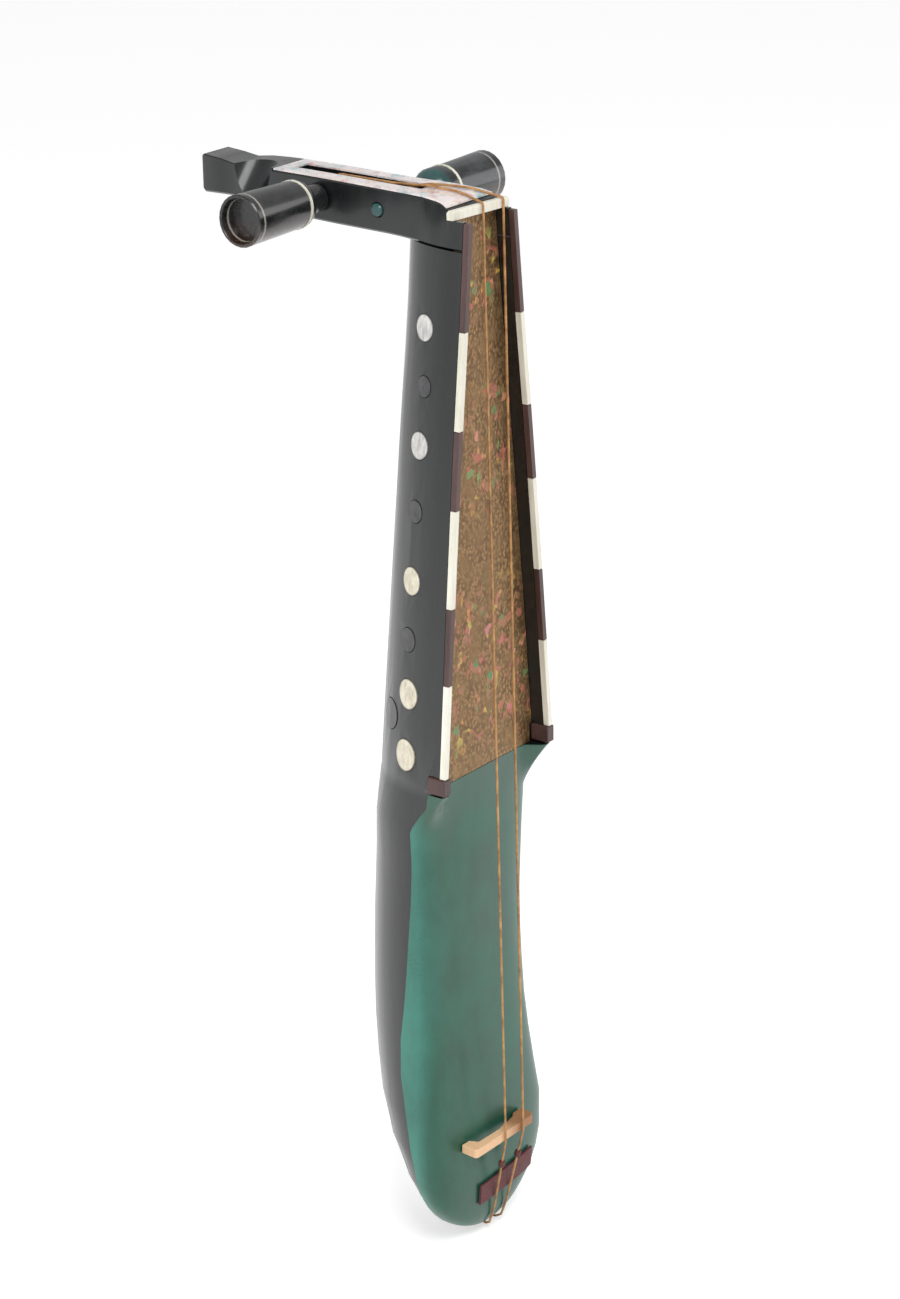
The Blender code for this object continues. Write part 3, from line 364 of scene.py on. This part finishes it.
@dataclass(frozen=True)
class PearlVeneer:
    """Pinkish-white shell tiles with teal, blue and red glints."""

    name: str = "shell_veneer_pearl"
    tile: float = 190.0

    def build(self) -> bpy.types.Material:
        """Make the node material.

        Returns:
            The material.
        """
        layers = Layers(self.name)
        tiles = layers.cells(layers.place, self.tile, "Color")
        split = layers.tree.nodes.new("ShaderNodeSeparateColor")
        layers.link(tiles, split.inputs["Color"])
        base = layers.ramp(split.outputs["Red"], (
            (0.00, (0.78, 0.62, 0.60)), (0.35, (0.90, 0.80, 0.78)), (0.60, (0.62, 0.60, 0.62)),
            (0.78, (0.30, 0.52, 0.56)), (0.88, (0.62, 0.24, 0.24)), (1.00, (0.86, 0.78, 0.70))))
        cloud = layers.noise(layers.place, 320.0, 5.0)
        haze = layers.span(cloud, 0.35, 0.75)
        layers.set("Base Color", layers.mix(haze, base, (0.92, 0.86, 0.84)))
        layers.set("Roughness", layers.span(cloud, *NOISE_SPAN, 0.18, 0.36))
        layers.set("Coat Weight", 0.4)
        layers.set("Coat Roughness", 0.1)
        layers.relief(layers.cells(layers.place, self.tile), 0.25, 0.00015)
        return layers.material


@dataclass(frozen=True)
class StampedBrass:
    """Golden-brown brass with rows of stamped scales and painted flecks."""

    name: str = "stamped_brass_plate"
    scale: float = 620.0
    fleck_scale: float = 300.0
    groups: tuple[tuple[float, float], ...] = ((0.295, 0.045), (0.400, 0.034), (0.482, 0.024))
    tints: tuple[tuple[float, Colour], ...] = field(default=(
        (0.00, (0.34, 0.20, 0.08)), (0.50, (0.50, 0.13, 0.10)), (0.60, (0.62, 0.24, 0.24)),
        (0.70, (0.62, 0.30, 0.07)), (0.80, (0.58, 0.46, 0.10)), (0.88, (0.10, 0.26, 0.10)),
        (1.00, (0.34, 0.20, 0.08))))

    def build(self) -> bpy.types.Material:
        """Make the node material.

        Returns:
            The material.
        """
        layers = Layers(self.name)
        flat = layers.scaled((1.0, 0.0, 0.82))
        scales = layers.cells(flat, self.scale)
        broad = layers.noise(flat, 90.0, 4.0)
        hollow = layers.span(scales, 0.15, 0.65)
        metal = layers.mix(hollow, (0.40, 0.24, 0.105), (0.16, 0.088, 0.036))
        metal = layers.mix(layers.span(broad, 0.4, 0.7), metal, (0.27, 0.165, 0.075))
        split = layers.tree.nodes.new("ShaderNodeSeparateColor")
        layers.link(layers.cells(flat, self.fleck_scale, "Color"), split.inputs["Color"])
        paint = layers.ramp(split.outputs["Green"], self.tints)
        height = layers.part("Z")
        near: bpy.types.NodeSocket | None = None
        for middle, reach in self.groups:
            away = layers.sum_up("ABSOLUTE", layers.sum_up("SUBTRACT", height, middle), 0.0)
            band = layers.span(away, reach * 0.65, reach, 1.0, 0.0)
            near = band if near is None else layers.sum_up("MAXIMUM", near, band)
        dabs = layers.span(split.outputs["Red"], 0.48, 0.56)
        patches = layers.span(layers.noise(flat, 130.0, 2.0), 0.47, 0.56)
        cover = layers.sum_up("MULTIPLY", layers.sum_up("MULTIPLY", dabs, patches), near)
        layers.set("Base Color", layers.mix(cover, metal, paint))
        layers.set("Metallic", layers.span(cover, 0.0, 1.0, 0.55, 0.0))
        layers.set("Roughness", layers.span(broad, *NOISE_SPAN, 0.34, 0.52))
        layers.relief(scales, 0.7, 0.00035)
        return layers.material


@dataclass(frozen=True)
class DyedSkin:
    """Green skin with painted light: the sides are lighter and bluer than the front."""

    name: str = "green_skin_dyed"

    def build(self) -> bpy.types.Material:
        """Make the node material.

        Returns:
            The material.
        """
        layers = Layers(self.name)
        place = layers.scaled((1.0, 1.0, 0.7))
        cloud = layers.noise(place, 38.0, 6.0, 0.62)
        pores = layers.noise(place, 1500.0, 3.0)
        mottle = layers.span(cloud, *CLOUD_SPAN)
        front = layers.mix(mottle, (0.0060, 0.070, 0.042), (0.012, 0.122, 0.076))
        # painted light: a lighter, bluer copy of the green, mixed in on the sides where they
        # turn back
        side = layers.mix(mottle, (0.022, 0.160, 0.118), (0.042, 0.250, 0.190))
        painted_side_light = layers.span(layers.part("Y"), 0.0125, 0.0200)
        skin = layers.mix(painted_side_light, front, side)
        dull = layers.span(layers.part("Z"), 0.205, 0.245)
        skin = layers.mix(layers.sum_up("MULTIPLY", dull, 0.55), skin, (0.060, 0.115, 0.085))
        layers.set("Base Color", skin)
        layers.set("Roughness", layers.span(cloud, *NOISE_SPAN, 0.26, 0.46))
        layers.set("Coat Weight", 0.15)
        layers.set("Coat Roughness", 0.25)
        layers.relief(layers.weighted(pores, 0.3, cloud), 0.35, 0.00030)
        return layers.material


@dataclass(frozen=True)
class BareReed:
    """Peach reed with painted shade: it turns brown towards the right end."""

    name: str = "reed_bare"

    def build(self) -> bpy.types.Material:
        """Make the node material.

        Returns:
            The material.
        """
        layers = Layers(self.name)
        fibre = layers.noise(layers.scaled((0.15, 1.0, 1.0)), 1600.0, 4.0)
        # painted shade: the right end is mixed to a darker brown copy of the reed
        share = layers.span(layers.part("X"), -0.006, 0.006)
        pale = layers.mix(fibre, (0.72, 0.42, 0.22), (0.98, 0.66, 0.40))
        brown = layers.mix(fibre, (0.28, 0.12, 0.05), (0.50, 0.24, 0.11))
        layers.set("Base Color", layers.mix(share, pale, brown))
        layers.set("Roughness", layers.span(fibre, *NOISE_SPAN, 0.40, 0.60))
        layers.relief(fibre, 0.4, 0.00015)
        return layers.material


@dataclass(frozen=True)
class InlaidDisc:
    """Disc inlay with a rim shadow line and a turned centre dot."""

    name: str
    dark: Colour
    light: Colour

    def build(self, centre: Vector, radius: float) -> bpy.types.Material:
        """Make the node material for one disc.

        Args:
            centre: middle of the disc's face.
            radius: radius of the disc.

        Returns:
            The material.
        """
        layers = Layers(self.name)
        away = layers.tree.nodes.new("ShaderNodeVectorMath")
        away.operation = "DISTANCE"
        layers.link(layers.place, away.inputs[0])
        away.inputs[1].default_value = centre
        distance = away.outputs["Value"]
        cloud = layers.noise(layers.scaled((1.0, 1.0, 0.5)), 420.0, 5.0)
        face = layers.mix(layers.span(cloud, *CLOUD_SPAN), self.dark, self.light)
        dot = layers.span(distance, *DOT_EDGE, 1.0, 0.0)
        rim = layers.span(distance, radius * 0.90, radius * 0.99)
        mark = layers.sum_up("MULTIPLY", layers.sum_up("MAXIMUM", dot, rim), 0.72)
        layers.set("Base Color", layers.mix(mark, face, (0.020, 0.018, 0.017)))
        layers.set("Roughness", layers.span(cloud, *NOISE_SPAN, 0.26, 0.42))
        layers.set("Coat Weight", 0.2)
        layers.relief(layers.span(distance, 0.0007, 0.0012), 0.5, 0.0002)
        return layers.material


@dataclass(frozen=True)
class PegPolish:
    """Dark polished peg with a coloured inner neck, a faint pale ring line round its barrel and
    a browner, gold-specked lower side.
    """

    name: str
    inner: Colour
    barrel: Colour
    under: Colour
    side: float

    def build(self, pivot: Vector) -> bpy.types.Material:
        """Make the node material for one peg.

        Args:
            pivot: a point on the peg's axis.

        Returns:
            The material.
        """
        layers = Layers(self.name)
        along = layers.sum_up("MULTIPLY", layers.part("X"), self.side)
        cloud = layers.noise(layers.scaled((0.5, 1.0, 1.0)), 160.0, 6.0, 0.65)
        base = layers.mix(layers.span(cloud, 0.35, 0.75), (0.0035, 0.0042, 0.0048), self.barrel)
        below = layers.span(layers.part("Z"), pivot.z - 0.009, pivot.z + 0.001, 1.0, 0.0)
        specks = layers.span(layers.cells(layers.place, 800.0), 0.10, 0.20, 1.0, 0.0)
        lower = layers.mix(specks, self.under, (0.46, 0.30, 0.08))
        base = layers.mix(layers.sum_up("MULTIPLY", below, 0.65), base, lower)
        neck = layers.span(along, 0.028, 0.032, 1.0, 0.0)
        base = layers.mix(layers.sum_up("MULTIPLY", neck, 0.6), base, self.inner)
        line = layers.sum_up("ABSOLUTE", layers.sum_up("SUBTRACT", along, PEG_LINE), 0.0)
        ring = layers.span(line, 0.0004, 0.0007, 1.0, 0.0)
        base = layers.mix(layers.sum_up("MULTIPLY", ring, 0.7), base, (0.45, 0.42, 0.38))
        layers.set("Base Color", base)
        layers.set("Roughness", layers.span(cloud, *NOISE_SPAN, 0.20, 0.36))
        layers.set("Coat Weight", 0.4)
        layers.set("Coat Roughness", 0.12)
        layers.relief(cloud, 0.2, 0.0002)
        return layers.material


def body_of_node(node: str) -> str:
    """The CAD body that a node belongs to."""
    bodies = frame["record"]["behaviour"]["bodies"]
    return next(body for body, nodes in bodies.items() if node in nodes)


def smooth_copy(node: str) -> bpy.types.Object:
    """Make a merged, smooth-shaded piece of a curved node.

    Args:
        node: the node's name.

    Returns:
        The piece that stands for the node.
    """
    mesh = frame["nodes"][node].data.copy()
    mesh.name = f"{node}_smooth"
    work = bmesh.new()
    work.from_mesh(mesh)
    bmesh.ops.remove_doubles(work, verts=work.verts, dist=MERGE_DISTANCE)
    work.to_mesh(mesh)
    work.free()
    if "custom_normal" in mesh.attributes:
        mesh.attributes.remove(mesh.attributes["custom_normal"])
    mesh.shade_smooth()
    mesh.set_sharp_from_angle(angle=SHARP_ANGLE)
    piece = bpy.data.objects.new(f"{node}_smooth", mesh)
    bpy.context.scene.collection.objects.link(piece)
    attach(piece, body_of_node(node))
    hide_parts(node)
    return piece


def dress(node: str, material: bpy.types.Material) -> None:
    """Give a CAD node its finish, on a smooth copy where it is curved.

    Args:
        node: the node's name.
        material: the finish.
    """
    obj = smooth_copy(node) if node.startswith(SMOOTHED) else frame["nodes"][node]
    if not obj.material_slots:
        obj.data.materials.append(material)
    for entry in obj.material_slots:
        entry.material = material
    LOG.info("dressed %s with %s", node, material.name)


@dataclass
class HullDressing:
    """The hull, its rim strips and head, strings, plate, skin and bridge: CAD nodes with
    detailed finishes.
    """

    wood_prefixes: tuple[str, ...] = ("wood_strip", "end_block", "head_dowel", "tail_pin")
    bone_prefixes: tuple[str, ...] = ("bone_strip", "nut", "peg_ring")
    gut_prefixes: tuple[str, ...] = ("string_left", "string_right", "winding")
    leather_prefixes: tuple[str, ...] = ("tail_patch", "string_knot")

    def build(self) -> None:
        """Dress every plain node."""
        ebonised = EBONISED.build()
        groups = (
            (self.wood_prefixes, BROWN.build()), (self.bone_prefixes, BONE.build()),
            (self.gut_prefixes, GUT.build()), (self.leather_prefixes, LEATHER.build()),
        )
        for node in ("body_shell", "head_block"):
            dress(node, ebonised)
        for prefixes, material in groups:
            for node in frame["nodes"]:
                if node.startswith(prefixes):
                    dress(node, material)
        dress("head_veneer", PearlVeneer().build())
        dress("sound_plate", StampedBrass().build())
        dress("belly_skin", DyedSkin().build())
        dress("bridge", BareReed().build())


@dataclass
class SideInlays:
    """The discs let into the sides of the neck."""

    pale: tuple[Colour, Colour] = ((0.46, 0.45, 0.43), (0.80, 0.79, 0.76))
    cream: tuple[Colour, Colour] = ((0.62, 0.56, 0.42), (0.90, 0.84, 0.68))
    dark: tuple[Colour, Colour] = ((0.030, 0.030, 0.034), (0.075, 0.073, 0.078))

    def build(self) -> None:
        """Dress each disc with rings centred on its own middle."""
        for node in frame["nodes"]:
            if "_disc_" not in node:
                continue
            low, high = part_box(node)
            centre = (Vector(low) + Vector(high)) / 2
            radius = (high[2] - low[2]) / 2
            if node.startswith("horn"):
                tones = self.dark
            elif centre.z > PALE_DISC_HEIGHT:
                tones = self.pale
            else:
                tones = self.cream
            dress(node, InlaidDisc(f"inlay_{node}", *tones).build(centre, radius))


@dataclass
class PegDressing:
    """The two tuning pegs."""

    left_pivot: Colour = (0.0, 0.0898, 0.5105)
    right_pivot: Colour = (0.0, 0.0555, 0.5090)

    def build(self) -> None:
        """Dress both pegs."""
        left = PegPolish("peg_left_polish", (0.010, 0.012, 0.013), (0.034, 0.034, 0.036),
                         (0.040, 0.020, 0.014), -1.0)
        right = PegPolish("peg_right_polish", (0.012, 0.110, 0.105), (0.060, 0.066, 0.075),
                          (0.070, 0.026, 0.016), 1.0)
        dress("peg_left", left.build(Vector(self.left_pivot)))
        dress("peg_right", right.build(Vector(self.right_pivot)))


@dataclass
class Studio:
    """Pale floor and backdrop, plain soft light and the camera of the photograph."""

    floor_drop: float = 0.004
    floor_size: float = 6.0
    azimuth: float = 53.195
    elevation: float = 21.319
    distance: float = 1.7248
    aim: Colour = (0.0, 0.03, 0.26)
    roll: float = -0.974
    lens: float = 100.36
    sensor: float = 36.0
    shift_x: float = 0.0013
    shift_y: float = 0.0583

    def floor(self) -> None:
        """Make the floor, which stays white to the camera and keeps the shadow."""
        work = bmesh.new()
        bmesh.ops.create_grid(work, x_segments=1, y_segments=1, size=self.floor_size)
        bmesh.ops.translate(work, verts=work.verts, vec=(0.0, 0.0, -self.floor_drop))
        mesh = bpy.data.meshes.new("floor")
        work.to_mesh(mesh)
        work.free()
        layers = Layers("floor_paper")
        grain = layers.noise(layers.place, 400.0, 2.0)
        layers.set("Base Color", layers.mix(grain, (0.90, 0.90, 0.90), (0.95, 0.95, 0.95)))
        layers.set("Roughness", 0.9)
        self.whiten(layers)
        mesh.materials.append(layers.material)
        floor = bpy.data.objects.new("floor", mesh)
        bpy.context.scene.collection.objects.link(floor)

    def whiten(self, layers: Layers) -> None:
        """Add a steady white to the floor for what the camera and reflections see.

        Args:
            layers: the floor's material.
        """
        path = layers.tree.nodes.new("ShaderNodeLightPath")
        rays = path.outputs
        seen = layers.sum_up("MAXIMUM", rays["Is Camera Ray"], rays["Is Glossy Ray"])
        layers.shader.inputs["Emission Color"].default_value = (1.0, 1.0, 1.0, 1.0)
        layers.set("Emission Strength", layers.sum_up("MULTIPLY", seen, 0.42))

    def sky(self) -> None:
        """White to the camera and to transmission rays, a soft grey as a light."""
        world = bpy.data.worlds.new("studio")
        bpy.context.scene.world = world
        world.use_nodes = True
        tree = world.node_tree
        light = tree.nodes["Background"]
        light.inputs["Color"].default_value = (1.0, 1.0, 1.0, 1.0)
        light.inputs["Strength"].default_value = 0.55
        white = tree.nodes.new("ShaderNodeBackground")
        white.inputs["Color"].default_value = (1.0, 1.0, 1.0, 1.0)
        white.inputs["Strength"].default_value = 1.0
        path = tree.nodes.new("ShaderNodeLightPath")
        choose = tree.nodes.new("ShaderNodeMixShader")
        seen = tree.nodes.new("ShaderNodeMath")
        seen.operation = "MAXIMUM"
        tree.links.new(path.outputs["Is Camera Ray"], seen.inputs[0])
        tree.links.new(path.outputs["Is Transmission Ray"], seen.inputs[1])
        tree.links.new(seen.outputs["Value"], choose.inputs["Fac"])
        tree.links.new(light.outputs["Background"], choose.inputs[1])
        tree.links.new(white.outputs["Background"], choose.inputs[2])
        tree.links.new(choose.outputs["Shader"], tree.nodes["World Output"].inputs["Surface"])

    def lamp(self, name: str, place: Colour, size: float, watts: float) -> None:
        """Add a soft area lamp aimed at the instrument.

        Args:
            name: the lamp's name.
            place: where it hangs.
            size: side of its square in metres.
            watts: its power.
        """
        data = bpy.data.lights.new(name, "AREA")
        data.size = size
        data.energy = watts
        lamp = bpy.data.objects.new(name, data)
        lamp.location = place
        direction = Vector(self.aim) - Vector(place)
        lamp.rotation_euler = direction.to_track_quat("-Z", "Y").to_euler()
        bpy.context.scene.collection.objects.link(lamp)

    def camera(self) -> None:
        """Set the camera solved from the photograph."""
        turn = math.radians(self.azimuth)
        rise = math.radians(self.elevation)
        level = math.cos(rise)
        back = Vector((-math.sin(turn) * level, -math.cos(turn) * level, math.sin(rise)))
        data = bpy.data.cameras.new("camera")
        data.lens = self.lens
        data.sensor_width = self.sensor
        data.sensor_fit = "AUTO"
        data.shift_x = self.shift_x
        data.shift_y = self.shift_y
        camera = bpy.data.objects.new("camera", data)
        bpy.context.scene.collection.objects.link(camera)
        aimed = (-back).to_track_quat("-Z", "Y").to_matrix().to_4x4()
        tilt = Matrix.Rotation(math.radians(self.roll), 4, "Z")
        place = Matrix.Translation(Vector(self.aim) + back * self.distance)
        camera.matrix_world = place @ aimed @ tilt
        bpy.context.scene.camera = camera

    def build(self) -> None:
        """Make floor, world, lamps and camera."""
        self.camera()
        self.floor()
        self.sky()
        self.lamp("key", (-0.9, -1.0, 2.0), 1.0, 22.0)
        self.lamp("fill", (-1.8, 0.3, 0.9), 1.2, 9.0)
        self.lamp("side", (1.4, -1.4, 0.8), 1.2, 8.0)
        bpy.context.scene.view_settings.view_transform = "Standard"


def main() -> None:
    """Build the classes in order and report each."""
    logging.basicConfig(level=logging.INFO, format="%(message)s")
    for part in (Studio(), HullDressing(), SideInlays(), PegDressing()):
        part.build()
        LOG.info("built %s", type(part).__name__)


if __name__ == "__main__":
    main()
